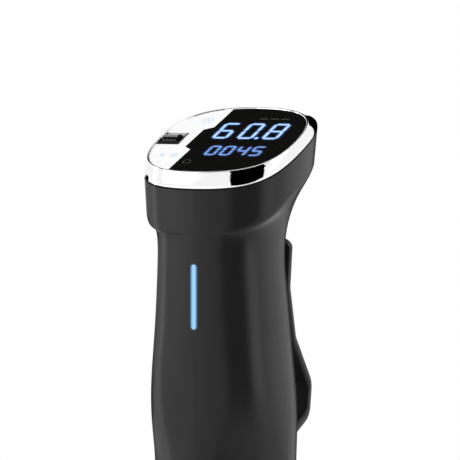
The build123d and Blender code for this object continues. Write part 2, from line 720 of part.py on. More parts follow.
def bulkhead():
    """The plug that closes the top of the tube and carries the motor, heater and sensors."""
    body = upright(PLUG_RADIUS, PLUG_BOTTOM, TUBE_TOP) + upright(FLANGE_RADIUS, TUBE_TOP, FLANGE_TOP)
    groove_low = PLUG_BOTTOM + SEAL_SECTION
    body -= ring(TUBE_RADIUS, SEAL_INNER, groove_low, groove_low + SEAL_SECTION)
    body -= upright(SHAFT_HOLE_RADIUS, PLUG_BOTTOM, FLANGE_TOP)
    body -= upright(SHAFT_SEAL_RADIUS + FIT_GAP, TUBE_TOP, FLANGE_TOP)
    for x, y in (heater_places()[0], heater_places()[3]):
        body -= upright(HEATER_TUBE_RADIUS + FIT_GAP, PLUG_BOTTOM, FLANGE_TOP, x, y)
    for x, y, radius in sensor_places():
        body -= upright(radius + FIT_GAP, PLUG_BOTTOM, FLANGE_TOP, x, y)
    return body


def bulkhead_seal():
    """The rubber ring between the plug and the tube."""
    low = PLUG_BOTTOM + SEAL_SECTION
    return ring(TUBE_BORE - FIT_GAP, SEAL_INNER + FIT_GAP, low, low + SEAL_SECTION)


def shaft_seal():
    """The lip seal that keeps water away from the motor."""
    return ring(SHAFT_SEAL_RADIUS, BORE_RADIUS, TUBE_TOP, FLANGE_TOP)


def shaft_column():
    """The tube that hangs from the plug and guards the pump shaft."""
    return ring(COLUMN_RADIUS, COLUMN_BORE, COLUMN_BOTTOM, PLUG_BOTTOM)


def column_bush():
    """The plain bearing at the lower end of the column."""
    sleeve = upright(COLUMN_BORE - FIT_GAP, COLUMN_BOTTOM - BUSH_FLANGE, COLUMN_BOTTOM + BUSH_HEIGHT)
    flange = upright(COLUMN_RADIUS, COLUMN_BOTTOM - BUSH_FLANGE, COLUMN_BOTTOM)
    bore = upright(BORE_RADIUS, COLUMN_BOTTOM - BUSH_FLANGE, COLUMN_BOTTOM + BUSH_HEIGHT)
    return sleeve + flange - bore


def heater_element():
    """The sheathed heater: four straight runs joined by half-circle bends."""
    (ax, ay), (bx, by), (cx, cy), (dx, dy) = heater_places()
    half = (ax - bx) / 2
    low = HEATER_BOTTOM + half
    high = PLUG_BOTTOM - HEATER_TOP_GAP - HEATER_TUBE_RADIUS - half
    top = FLANGE_TOP + TERMINAL_LENGTH
    bends = [
        Line((ax, ay, top), (ax, ay, low)),
        ThreePointArc((ax, ay, low), (0, ay, HEATER_BOTTOM), (bx, by, low)),
        Line((bx, by, low), (bx, by, high)),
        ThreePointArc((bx, by, high), (bx, 0, high + half), (cx, cy, high)),
        Line((cx, cy, high), (cx, cy, low)),
        ThreePointArc((cx, cy, low), (0, cy, HEATER_BOTTOM), (dx, dy, low)),
        Line((dx, dy, low), (dx, dy, top)),
    ]
    start = Plane(origin=(ax, ay, top), z_dir=(0, 0, -1))
    return sweep(start * Circle(HEATER_TUBE_RADIUS), path=Wire(bends))


def heater_nuts():
    """The two nuts that clamp the heater's ends to the plug."""
    nuts = []
    for x, y in (heater_places()[0], heater_places()[3]):
        nut = Pos(x, y, FLANGE_TOP) * extrude(RegularPolygon(NUT_RADIUS, 6), NUT_HEIGHT)
        nuts.append(nut - upright(HEATER_TUBE_RADIUS + FIT_GAP, FLANGE_TOP, FLANGE_TOP + NUT_HEIGHT, x, y))
    return Compound(children=[nut.solid() for nut in nuts])


def sensor_rod(x, y, radius, bottom):
    """A sensor rod through the plug with a wider head on top of it."""
    rod = upright(radius, bottom + radius, FLANGE_TOP + SENSOR_HEAD_HEIGHT, x, y)
    tip = Pos(x, y, bottom + radius) * Sphere(radius)
    top = upright(radius + 1, FLANGE_TOP, FLANGE_TOP + SENSOR_HEAD_HEIGHT, x, y)
    return rod + tip + top


def temperature_probe():
    """The sensor that reads the water's temperature."""
    x, y, radius = sensor_places()[0]
    return sensor_rod(x, y, radius, PROBE_BOTTOM)


def level_electrodes():
    """The two rods that sense a low water level."""
    rods = []
    for (x, y, radius), bottom in zip(sensor_places()[1:], ELECTRODE_BOTTOMS):
        rods.append(sensor_rod(x, y, radius, bottom))
    return Compound(children=[rod.solid() for rod in rods])


# Motor, pump and power board


def drive_shaft():
    """The one shaft that carries the rotor, fan and impeller."""
    return upright(SHAFT_RADIUS, SHAFT_BOTTOM, SHAFT_TOP)


def impeller():
    """The pump wheel: a disc with upright blades."""
    top = IMPELLER_BOTTOM + IMPELLER_HEIGHT
    wheel = upright(IMPELLER_RADIUS, IMPELLER_BOTTOM, IMPELLER_BOTTOM + IMPELLER_DISC)
    wheel += upright(HUB_RADIUS, IMPELLER_BOTTOM, top)
    length = IMPELLER_RADIUS - SHAFT_RADIUS - 1
    blade = Pos(SHAFT_RADIUS + 1 + length / 2, 0, (IMPELLER_BOTTOM + top) / 2) * Box(
        length, BLADE_THICKNESS, IMPELLER_HEIGHT
    )
    wheel += around(IMPELLER_BLADES, blade)
    return wheel - upright(SHAFT_RADIUS + FIT_GAP, IMPELLER_BOTTOM, top)


def motor_can():
    """The motor's cup, which stands on the plug."""
    floor = FLANGE_TOP + MOTOR_FLOOR
    can = upright(MOTOR_RADIUS, FLANGE_TOP, MOTOR_TOP)
    can -= upright(MOTOR_RADIUS - MOTOR_WALL, floor, MOTOR_TOP)
    can += ring(BEARING_RADIUS + BEARING_SEAT_WALL, BEARING_RADIUS + FIT_GAP, floor, floor + BEARING_HEIGHT)
    return can - upright(SHAFT_HOLE_RADIUS, FLANGE_TOP, floor)


def motor_lid():
    """The motor's upper end with its bearing seat."""
    lid = upright(MOTOR_RADIUS, MOTOR_TOP, LID_TOP)
    lid += upright(BEARING_RADIUS + BEARING_SEAT_WALL, MOTOR_TOP - BEARING_HEIGHT, MOTOR_TOP)
    lid -= upright(BEARING_RADIUS + FIT_GAP, MOTOR_TOP - BEARING_HEIGHT, MOTOR_TOP)
    return lid - upright(SHAFT_HOLE_RADIUS, MOTOR_TOP, LID_TOP)


def bearing(low):
    """A ball bearing, drawn as one plain ring, that the shaft turns in."""
    return ring(BEARING_RADIUS, BORE_RADIUS, low, low + BEARING_HEIGHT)


def rotor_levels():
    """Heights of the ends of the rotor, midway between the two bearings."""
    middle = (FLANGE_TOP + MOTOR_FLOOR + MOTOR_TOP) / 2
    return middle - ROTOR_LENGTH / 2, middle + ROTOR_LENGTH / 2


def motor_rotor():
    """The motor's turning core."""
    return ring(ROTOR_RADIUS, SHAFT_RADIUS + FIT_GAP, *rotor_levels())


def motor_stator():
    """The motor's fixed windings, drawn as one ring in the can."""
    return ring(MOTOR_RADIUS - MOTOR_WALL - FIT_GAP, ROTOR_RADIUS + AIR_GAP, *rotor_levels())


def cooling_fan():
    """The fan on top of the motor that cools the electronics."""
    top = FAN_BOTTOM + FAN_HEIGHT
    length = FAN_RADIUS - SHAFT_RADIUS - 1
    blade = Pos(SHAFT_RADIUS + 1 + length / 2, 0, (FAN_BOTTOM + top) / 2) * Rot(FAN_PITCH, 0, 0) * Box(
        length, BLADE_THICKNESS, FAN_HEIGHT
    )
    fan = upright(HUB_RADIUS, FAN_BOTTOM, top) + around(FAN_BLADES, blade)
    return fan - upright(SHAFT_RADIUS + FIT_GAP, FAN_BOTTOM - 1, top + 1)


def power_board():
    """The upright circuit board in front of the motor, standing on the plug."""
    return Pos(0, POWER_BOARD_Y - POWER_BOARD_THICKNESS / 2, FLANGE_TOP + POWER_BOARD_HEIGHT / 2) * Box(
        2 * POWER_BOARD_HALF_WIDTH, POWER_BOARD_THICKNESS, POWER_BOARD_HEIGHT
    )


def board_block(x, z, depth):
    """A component on the motor side of the power board, from (low, high) pairs."""
    return Pos((x[0] + x[1]) / 2, POWER_BOARD_Y + depth / 2, FLANGE_TOP + (z[0] + z[1]) / 2) * Box(
        x[1] - x[0], depth, z[1] - z[0]
    )


def power_components():
    """The relay, transformer, switch and capacitor of the power board."""
    capacitor = Pos(8, POWER_BOARD_Y + CAPACITOR_RADIUS, FLANGE_TOP + 21) * Cylinder(CAPACITOR_RADIUS, 22)
    pieces = [
        board_block((-14, -2), (10, 28), COMPONENT_DEPTH),
        board_block((-14, 0), (34, 48), COMPONENT_DEPTH),
        board_block((3, 13), (38, 50), COMPONENT_DEPTH / 2),
        capacitor,
    ]
    return Compound(children=[piece.solid() for piece in pieces])


# Clip


def clip_path():
    """The middle line of the clip, seen from the side."""
    return FilletPolyline(*[(0, y, z) for y, z in CLIP_LINE], radius=CLIP_BEND_RADIUS)


def clip_arm():
    """The spring clip: finger lever above the pin, bowed arm and jaw below it, two lugs on the pin."""
    path = clip_path()
    start = Plane(origin=path @ 0, x_dir=(1, 0, 0), z_dir=path % 0)
    arm = sweep(start * RectangleRounded(CLIP_WIDTH, CLIP_THICKNESS, CLIP_EDGE_RADIUS), path=path)
    top, bottom = CLIP_LINE[0][1] - SEAM_GAP, CLIP_LINE[-1][1] + SEAM_GAP
    outline = RectangleRounded(CLIP_WIDTH + 1, top - bottom, CLIP_CORNER_RADIUS)
    arm &= Pos(0, 0, (top + bottom) / 2) * Rot(90, 0, 0) * extrude(outline, 3 * HEAD_BACK, both=True)
    web = CLIP_LINE[1][0] - PIVOT_Y
    for left, right in ((LUG_INNER_X, LUG_OUTER_X), (-LUG_OUTER_X, -LUG_INNER_X)):
        arm += Pos((left + right) / 2, PIVOT_Y + web / 2, PIVOT_Z) * Box(right - left, web, 2 * EAR_RADIUS)
        arm += crosswise(EAR_RADIUS, left, right, PIVOT_Y, PIVOT_Z)
    return arm - crosswise(PIN_RADIUS + RUN_GAP, -CLIP_WIDTH, CLIP_WIDTH, PIVOT_Y, PIVOT_Z)


def clip_pad():
    """The soft pad on the inside of the jaw."""
    path = clip_path()
    down = path % 1
    inward = Vector(0, down.Z, -down.Y)
    middle = path @ 1 - down * (PAD_HEIGHT / 2 + 1) + inward * ((CLIP_THICKNESS + PAD_THICKNESS) / 2)
    return Plane(origin=middle, x_dir=(1, 0, 0), z_dir=inward) * Box(PAD_WIDTH, PAD_HEIGHT, PAD_THICKNESS)


def pin_end():
    """How far the pin reaches to each side."""
    return EAR_OUTER_X + 2 * FIT_GAP + 2 * RETAINER_THICKNESS


def clip_pin():
    """The hinge pin of the clip, held in the two ears."""
    return crosswise(PIN_RADIUS, -pin_end(), pin_end(), PIVOT_Y, PIVOT_Z)


def pin_retainers():
    """The two push-on rings that keep the pin in the ears."""
    rings = []
    for side in (-1, 1):
        inner = EAR_OUTER_X + FIT_GAP
        edges = sorted((side * inner, side * (inner + RETAINER_THICKNESS)))
        disc = crosswise(RETAINER_RADIUS, *edges, PIVOT_Y, PIVOT_Z)
        rings.append(disc - crosswise(PIN_RADIUS + FIT_GAP, *edges, PIVOT_Y, PIVOT_Z))
    return Compound(children=[item.solid() for item in rings])


def clip_spring():
    """The torsion spring wound around the pin between the lugs."""
    height = SPRING_TURNS * SPRING_PITCH
    helix = Helix(SPRING_PITCH, height, PIN_RADIUS + SPRING_GAP + SPRING_WIRE_RADIUS)
    start = Plane(origin=helix @ 0, z_dir=helix % 0)
    coil = sweep(start * Circle(SPRING_WIRE_RADIUS), path=helix, is_frenet=True)
    return Pos(-height / 2, PIVOT_Y, PIVOT_Z) * Rot(0, 90, 0) * coil


parts = {}
parts["main_housing"], parts["rear_cover"], parts["rear_pad"] = housing_pieces()
parts["cover_screws"] = cover_screws()
parts["cord_gland"] = cord_gland()
parts["light_guide"] = light_guide()
parts["light_board"] = light_board()
parts["chrome_bezel"] = chrome_bezel()
parts["bezel_gasket"] = bezel_gasket()
parts["display_window"], parts["control_panel"] = panel_pieces()
parts["led_module"] = led_module()
parts["display_board"] = display_board()
parts["head_tray"] = head_tray()
parts["touch_pads"] = touch_pads()
parts["scroll_roller"] = scroll_roller()
parts["encoder_shaft"] = encoder_shaft()
parts["encoder_body"] = encoder_body()
parts["base_cap"] = base_cap()
parts["steel_sleeve"] = steel_sleeve()
parts["flow_plate"] = flow_plate()
parts["bulkhead"] = bulkhead()
parts["bulkhead_seal"] = bulkhead_seal()
parts["shaft_seal"] = shaft_seal()
parts["shaft_column"] = shaft_column()
parts["column_bush"] = column_bush()
parts["heater_element"] = heater_element()
parts["heater_nuts"] = heater_nuts()
parts["temperature_probe"] = temperature_probe()
parts["level_electrodes"] = level_electrodes()
parts["drive_shaft"] = drive_shaft()
parts["impeller"] = impeller()
parts["motor_can"] = motor_can()
parts["motor_lid"] = motor_lid()
parts["lower_bearing"] = bearing(FLANGE_TOP + MOTOR_FLOOR)
parts["upper_bearing"] = bearing(MOTOR_TOP - BEARING_HEIGHT)
parts["motor_rotor"] = motor_rotor()
parts["motor_stator"] = motor_stator()
parts["cooling_fan"] = cooling_fan()
parts["power_board"] = power_board()
parts["power_components"] = power_components()
parts["clip_arm"] = clip_arm()
parts["clip_pad"] = clip_pad()
parts["clip_pin"] = clip_pin()
parts["pin_retainers"] = pin_retainers()
parts["clip_spring"] = clip_spring()

os.makedirs("parts", exist_ok=True)
for name, shape in parts.items():
    export_step(shape, f"parts/{name}.step")
    print(name, shape.is_valid, len(shape.solids()), round(shape.volume))
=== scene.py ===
# %% [markdown]
# # A sous vide circulator, dressed for its portrait
# The imported model is the fixed frame of this lesson: every solid is already in its place, in metres,
# with +Z up the tube, -Y to the user and +Y to the clip. We only add what the eye needs: finishes,
# the lit figures of the display, the touch signs, and the light. We keep the size of the model as it
# arrives.

# %% Load the frame
import math

import bpy
from mathutils import Matrix, Vector


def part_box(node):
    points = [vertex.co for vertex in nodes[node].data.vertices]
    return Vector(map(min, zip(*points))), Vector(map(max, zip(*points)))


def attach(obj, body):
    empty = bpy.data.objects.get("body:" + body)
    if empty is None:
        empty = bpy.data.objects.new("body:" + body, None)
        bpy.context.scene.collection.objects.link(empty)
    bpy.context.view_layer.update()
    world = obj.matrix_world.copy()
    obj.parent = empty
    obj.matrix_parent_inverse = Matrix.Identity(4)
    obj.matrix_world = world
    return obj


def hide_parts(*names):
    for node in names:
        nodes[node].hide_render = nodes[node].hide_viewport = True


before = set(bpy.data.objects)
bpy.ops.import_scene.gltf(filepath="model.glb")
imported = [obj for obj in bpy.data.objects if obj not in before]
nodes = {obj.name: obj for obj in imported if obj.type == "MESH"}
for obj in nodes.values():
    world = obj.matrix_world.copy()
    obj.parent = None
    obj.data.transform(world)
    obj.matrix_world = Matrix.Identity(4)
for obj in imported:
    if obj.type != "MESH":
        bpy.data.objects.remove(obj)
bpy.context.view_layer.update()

# %% [markdown]
# ## The camera
# The picture was taken with a long lens from the front and a little to the user's right, just above
# the level of the grip, so upright lines stay upright. The frame takes in 230 mm at the object, which
# shows the head and the upper grip. A camera without perspective would come close, but a narrow lens
# far away also keeps the slight narrowing of the panel towards its back.

# %% Camera at the picture's angle
VIEW_AZIMUTH = math.radians(27)
VIEW_ELEVATION = math.radians(3)
VIEW_DISTANCE = 2.4
VIEW_SPAN = 0.230
AIM_HEIGHT = 0.319
AIM_SHIFT = 0.002
SENSOR_WIDTH = 36
FAR_LIMIT = 50
towards_camera = Vector((
    math.sin(VIEW_AZIMUTH) * math.cos(VIEW_ELEVATION),
    -math.cos(VIEW_AZIMUTH) * math.cos(VIEW_ELEVATION),
    math.sin(VIEW_ELEVATION),
))
picture_right = Vector((math.cos(VIEW_AZIMUTH), math.sin(VIEW_AZIMUTH), 0))
aim = Vector((0, 0, AIM_HEIGHT)) + AIM_SHIFT * picture_right
lens = bpy.data.cameras.new("portrait_lens")
lens.sensor_width = SENSOR_WIDTH
lens.lens = lens.sensor_width * VIEW_DISTANCE / VIEW_SPAN
lens.clip_end = FAR_LIMIT
camera = bpy.data.objects.new("portrait_camera", lens)
bpy.context.collection.objects.link(camera)
camera.location = aim + VIEW_DISTANCE * towards_camera
camera.rotation_euler = (-towards_camera).to_track_quat("-Z", "Y").to_euler()
bpy.context.scene.camera = camera
print("camera at", tuple(round(value, 3) for value in camera.location))

# %% [markdown]
# ## The white room
# Black satin plastic has hardly any colour of its own: what we see on it is the room. The room here is
# white on every side, so the grip shows as a soft dark grey. White walls could be built, but a plain
# white world does the same from all sides. The standard view keeps that white a pure white.

# %% White world
room = bpy.data.worlds.new("white_room")
room.use_nodes = True
backdrop = room.node_tree.nodes["Background"]
backdrop.inputs["Color"].default_value = (1, 1, 1, 1)
backdrop.inputs["Strength"].default_value = 1.0
bpy.context.scene.world = room
bpy.context.scene.view_settings.view_transform = "Standard"
print("room light:", backdrop.inputs["Strength"].default_value)

# %% [markdown]
# ## The floor
# The circulator stands on a plain pale floor a hair below its foot. A large plane would do, but its
# corners show in the views from above, and a disc has none. The two helpers come back later: one makes
# a mesh from lists of points and faces, and the other makes a new material and finds its shader.

# %% Pale floor
FLOOR_RADIUS = 1.3
FLOOR_SIDES = 96
FLOOR_LEVEL = -0.0005
FLOOR_ROUGHNESS = 0.8


def mesh_object(name, points, faces):
    """A mesh object from plain lists, linked into the scene."""
    mesh = bpy.data.meshes.new(name)
    mesh.from_pydata([tuple(point) for point in points], [], faces)
    mesh.update()
    made = bpy.data.objects.new(name, mesh)
    bpy.context.collection.objects.link(made)
    return made


def new_material(name, roughness):
    """A new material, with its node tree and its shader."""
    made = bpy.data.materials.new(name)
    made.use_nodes = True
    shader = made.node_tree.nodes["Principled BSDF"]
    shader.inputs["Roughness"].default_value = roughness
    return made, made.node_tree, shader


rim = []
for step in range(FLOOR_SIDES):
    angle = 2 * math.pi * step / FLOOR_SIDES
    rim.append((FLOOR_RADIUS * math.cos(angle), FLOOR_RADIUS * math.sin(angle), FLOOR_LEVEL))
floor = mesh_object("pale_floor", rim, [tuple(range(FLOOR_SIDES))])
floor_white, _, floor_shader = new_material("floor_white", FLOOR_ROUGHNESS)
floor_shader.inputs["Base Color"].default_value = (0.93, 0.93, 0.93, 1)
floor.data.materials.append(floor_white)
print("floor, m across:", 2 * FLOOR_RADIUS)

# %% [markdown]
# ## A dark card
# A studio is dark behind the lens, and glossy things show it. Painting such shades on would fix them to
# one view, so black cards hang around the object and are mirrored in it. They show in reflections only
# and never stand in the picture. A card's sides can lean, because a curved mirror leans them back.

# %% A card that is only mirrored
card_black, _, card_shader = new_material("card_black", 1.0)
card_shader.inputs["Base Color"].default_value = (0, 0, 0, 1)
card_shader.inputs["Specular IOR Level"].default_value = 0.0


def dark_card(name, centre, facing, width, height, lean_left=0.0, lean_right=0.0):
    """A black card that faces a point. Its sides can lean over to the upper left."""
    away = (facing - centre).normalized()
    side = Vector((0, 0, 1)).cross(away).normalized()
    up = away.cross(side)
    corners = [
        centre + side * (sx * width / 2 + lean) + up * (sy * height / 2)
        for sx, sy, lean in (
            (-1, -1, -lean_right), (1, -1, -lean_left), (1, 1, lean_left), (-1, 1, lean_right),
        )
    ]
    made = mesh_object(name, corners, [(0, 1, 2, 3)])
    made.data.materials.append(card_black)
    made.visible_camera = False
    made.visible_diffuse = False
    made.visible_shadow = False
    made.visible_transmission = False


print("card finish:", card_black.name)

# %% [markdown]
# ## The cards in their places
# The lens card draws the deep band down the corner of the grip and the hard black patch in the chrome,
# and its leaning sides make that patch's ends stand upright. The sky card keeps the window black and the
# roof card edges the band's lip. The rear and rim cards hold the grip's two sides dark against the
# white, and the roller card is what the crown of the roller mirrors. In the table, each has its name,
# its place, what it faces, its width and its height, and the lens card also has the lean of its left and
# right sides. A world with dark parts could do some of this, but a card's edge can be put just where it
# is wanted.

# %% Hang the dark cards
STUDIO_RADIUS = 1.6
LENS_CARD_RADIUS = 1.0
SKY_CARD_RADIUS = 1.5
MIRRORED_VIEW = Vector((-0.453, 0.557, 0.696))
grip_middle = Vector((0, 0, 0.32))
head_middle = Vector((0, 0, 0.364))
card_lift = Vector((0, 0, 0.31))


def around_view(degrees, elevation, distance=STUDIO_RADIUS):
    """A point around the grip, counted from the lens's own direction."""
    turn = VIEW_AZIMUTH + math.radians(degrees)
    level = math.radians(elevation)
    return grip_middle + distance * Vector((
        math.sin(turn) * math.cos(level), -math.cos(turn) * math.cos(level), math.sin(level)
    ))


lens_point = around_view(8, 0, LENS_CARD_RADIUS) + card_lift
sky_point = head_middle + SKY_CARD_RADIUS * MIRRORED_VIEW
dark_cards = (
    ("lens_card", lens_point, grip_middle + card_lift, 1.4, 1.31, 0.15, 0.36),
    ("sky_card", sky_point, head_middle, 0.65, 0.55),
    ("roof_card", around_view(0, 68), head_middle, 1.6, 1.05),
    ("rear_card", around_view(163, 8), head_middle, 0.72, 2.4),
    ("rim_card", around_view(-155, -14), grip_middle, 1.3, 0.62),
    ("roller_card", around_view(-79, 51), head_middle, 1.9, 1.22),
)
for entry in dark_cards:
    dark_card(*entry)
print("dark cards:", len(dark_cards))

# %% [markdown]
# ## Soft boxes
# The white room alone leaves the grip flat. Three tall soft lights round it off: a broad one on each
# side, and a narrow one far round to the left that lightens the grip's left edge. Small lamps would
# leave hard spots, so each is a large rectangle that faces the grip.

# %% Set the soft boxes


def soft_box(name, place, width, height, watts):
    """A large area light that faces the grip."""
    lamp = bpy.data.lights.new(name, "AREA")
    lamp.shape = "RECTANGLE"
    lamp.size = width
    lamp.size_y = height
    lamp.energy = watts
    made = bpy.data.objects.new(name, lamp)
    bpy.context.collection.objects.link(made)
    made.location = place
    made.rotation_euler = (grip_middle - place).to_track_quat("-Z", "Y").to_euler()


soft_boxes = (
    ("left_box", around_view(-70, 20), 0.9, 1.6, 7.5),
    ("edge_box", around_view(-104, 10), 0.3, 1.8, 5),
    ("right_box", around_view(75, 20), 0.9, 1.6, 6.5),
)
for entry in soft_boxes:
    soft_box(*entry)
print("soft boxes:", len(soft_boxes))

# %% [markdown]
# ## One recipe for finishes
# One recipe serves most pieces: a principled shader with a fine noise that moves the roughness and the
# surface a little, as moulding, brushing or handling does, and a slower noise that shifts the colour.
# Pictures of surfaces could do this too, but noise has no seams and needs no unwrapping. Only the
# numbers differ from chrome to rubber.

# %% Noise and blends


def cloud(tree, place, scale):
    """A noise of one size over the given coordinates."""
    made = tree.nodes.new("ShaderNodeTexNoise")
    made.inputs["Scale"].default_value = scale
    tree.links.new(place, made.inputs["Vector"])
    return made


def blended(tree, factor, start, end):
    """A colour that goes from start to end as the factor goes from 0 to 1."""
    blend = tree.nodes.new("ShaderNodeMix")
    blend.data_type = "RGBA"
    blend.inputs["A"].default_value = (*start, 1)
    blend.inputs["B"].default_value = (*end, 1)
    tree.links.new(factor, blend.inputs["Factor"])
    return blend.outputs["Result"]


print("noise and blends ready")

# %% [markdown]
# The grain's noise drives two things at once, the roughness and a very low bump, so that a spot that
# stands out is also a little duller. A stretch along one axis turns the grain into brush lines.

# %% The recipe
DRIFT_SCALE = 22
GRAIN_DETAIL = 3
GRAIN_RISE = 0.0002
MM_PER_METRE = 1000


def finish(
    name, colour, roughness, metallic=0.0, grain=900.0, depth=0.02, drift=0.06, spread=0.05,
    stretch=(1, 1, 1), gloss=0.5,
):
    """A procedural finish: colour drift, roughness spread and a fine surface grain."""
    made, tree, shader = new_material(name, roughness)
    shader.inputs["Metallic"].default_value = metallic
    shader.inputs["Specular IOR Level"].default_value = gloss
    place = tree.nodes.new("ShaderNodeTexCoord").outputs["Object"]
    mapping = tree.nodes.new("ShaderNodeMapping")
    mapping.inputs["Scale"].default_value = stretch
    tree.links.new(place, mapping.inputs["Vector"])
    fine = cloud(tree, mapping.outputs["Vector"], grain)
    fine.inputs["Detail"].default_value = GRAIN_DETAIL
    level = tree.nodes.new("ShaderNodeMapRange")
    level.inputs["To Min"].default_value = max(0.0, roughness - spread)
    level.inputs["To Max"].default_value = min(1.0, roughness + spread)
    tree.links.new(fine.outputs["Fac"], level.inputs["Value"])
    tree.links.new(level.outputs["Result"], shader.inputs["Roughness"])
    slow = cloud(tree, place, DRIFT_SCALE)
    darker = [channel * (1 - drift) for channel in colour]
    lighter = [min(1, channel * (1 + drift)) for channel in colour]
    tone = blended(tree, slow.outputs["Fac"], darker, lighter)
    tree.links.new(tone, shader.inputs["Base Color"])
    bump = tree.nodes.new("ShaderNodeBump")
    bump.inputs["Strength"].default_value = depth
    bump.inputs["Distance"].default_value = GRAIN_RISE
    tree.links.new(fine.outputs["Fac"], bump.inputs["Height"])
    tree.links.new(bump.outputs["Normal"], shader.inputs["Normal"])
    return made


print("grain height, mm:", MM_PER_METRE * GRAIN_RISE)

# %% [markdown]
# ## The outside
# Housing, rear cover and clip are moulded in the same black satin plastic, with soft rubber where the
# pot is gripped and where pieces seal. The band is plated and polished, the panel is glossy white, and
# the window is smoked black. Each could have a shader of its own, but one recipe with other numbers
# keeps them in one light together.

# %% Finishes of the outside


def wear(material, *names):
    """Puts a finish on CAD nodes."""
    for name in names:
        node = nodes[name]
        node.data.materials.clear()
        node.data.materials.append(material)


satin_black = finish(
    "satin_black_shell", (0.0095, 0.0092, 0.0090), 0.30, grain=2600, depth=0.05, gloss=0.21,
)
chrome = finish(
    "polished_chrome", (0.90, 0.90, 0.91), 0.05, metallic=1.0, depth=0.0, drift=0.01, spread=0.02,
)
rubber = finish("soft_black_rubber", (0.012, 0.012, 0.012), 0.75, grain=1800, depth=0.2)
window_black = finish("smoked_window", (0.0055, 0.0053, 0.0050), 0.06, depth=0.0, spread=0.02)
panel_white = finish(
    "gloss_white_panel", (0.90, 0.90, 0.905), 0.12, depth=0.0, drift=0.01, spread=0.03,
)
roller_grey = finish(
    "ribbed_roller_grey", (0.40, 0.40, 0.405), 0.16, metallic=1.0, grain=2000, depth=0.0,
)
wear(satin_black, "main_housing", "rear_cover", "clip_arm")
wear(chrome, "chrome_bezel")
wear(rubber, "bezel_gasket", "rear_pad", "clip_pad", "bulkhead_seal", "shaft_seal", "cord_gland")
wear(window_black, "display_window")
wear(panel_white, "control_panel")
wear(roller_grey, "scroll_roller")
print("materials so far:", len(bpy.data.materials))

# %% [markdown]
# ## The tube and the inside
# The tube is brushed steel, whose lines come from a grain stretched along its height. Inside are green
# boards, dark moulded plastic, bare steel, brass nuts and a copper winding. They hardly show, but the
# pieces are also kept one by one, so none goes without a finish.

# %% Finishes of the tube and the inside
board_green = finish("board_green", (0.02, 0.11, 0.05), 0.5, grain=600, depth=0.1)
inner_plastic = finish("moulded_inner_plastic", (0.025, 0.025, 0.027), 0.5, grain=1500, depth=0.15)
brushed = finish(
    "brushed_tube_steel", (0.62, 0.62, 0.63), 0.30, metallic=1.0, grain=60, depth=0.06, drift=0.03,
    spread=0.10, stretch=(1, 1, 60),
)
bare_steel = finish("bare_steel", (0.58, 0.58, 0.59), 0.25, metallic=1.0, grain=700, depth=0.04)
brass = finish("nut_brass", (0.72, 0.50, 0.20), 0.28, metallic=1.0, grain=500, depth=0.05)
copper = finish("winding_copper", (0.60, 0.25, 0.10), 0.38, metallic=1.0, grain=300, depth=0.3)
wear(board_green, "display_board", "light_board", "power_board")
wear(
    inner_plastic, "led_module", "head_tray", "touch_pads", "encoder_body", "power_components",
    "impeller", "cooling_fan", "flow_plate", "bulkhead", "column_bush", "base_cap",
)
wear(brushed, "steel_sleeve", "motor_can", "motor_lid")
wear(
    bare_steel, "heater_element", "temperature_probe", "level_electrodes", "drive_shaft",
    "shaft_column", "encoder_shaft", "cover_screws", "clip_pin", "pin_retainers", "clip_spring",
    "lower_bearing", "upper_bearing", "motor_rotor",
)
wear(brass, "heater_nuts")
wear(copper, "motor_stator")
print("materials so far:", len(bpy.data.materials))

# %% [markdown]
# ## What glows
# The bar and the figures are lit from inside, so they give light of their own. Plain bright paint would
# look flat: a glow that wanders a little between two blues looks like lamps behind smoked plastic. The
# surface itself is kept dark, or the room's white would wash the colour out.

# %% Lit finishes
LIT_ROUGHNESS = 0.3
SURFACE_SHARE = 0.2
FIGURE_CLOUD = 260


def glowing(name, bright, dim, strength, scale):
    """A lit finish that wanders between a bright and a dimmer colour."""
    made, tree, shader = new_material(name, LIT_ROUGHNESS)
    shader.inputs["Base Color"].default_value = (*(SURFACE_SHARE * level for level in dim), 1)
    shader.inputs["Emission Strength"].default_value = strength
    place = tree.nodes.new("ShaderNodeTexCoord").outputs["Object"]
    tone = blended(tree, cloud(tree, place, scale).outputs["Fac"], dim, bright)
    tree.links.new(tone, shader.inputs["Emission Color"])
    return made


figure_light = glowing("figure_light", (0.60, 0.84, 1.0), (0.28, 0.54, 0.98), 0.95, FIGURE_CLOUD)
small_light = glowing("small_figure_light", (0.36, 0.60, 0.95), (0.16, 0.34, 0.80), 0.75, FIGURE_CLOUD)
edge_glow = glowing("figure_edge_glow", (0.05, 0.17, 0.62), (0.03, 0.11, 0.45), 1.0, FIGURE_CLOUD)
faint_glow = glowing("figure_faint_glow", (0.006, 0.017, 0.065), (0.004, 0.012, 0.05), 1.0, FIGURE_CLOUD)
print("lit finishes for the figures ready")

# %% [markdown]
# ## The light bar
# The bar up the front of the grip is a clear strip with lamps behind it. Its middle is nearly white and
# its long edges are bluer, where the light leaves at a slant. The distance from the bar's middle line
# gives that blend, so no picture of a glow is needed.

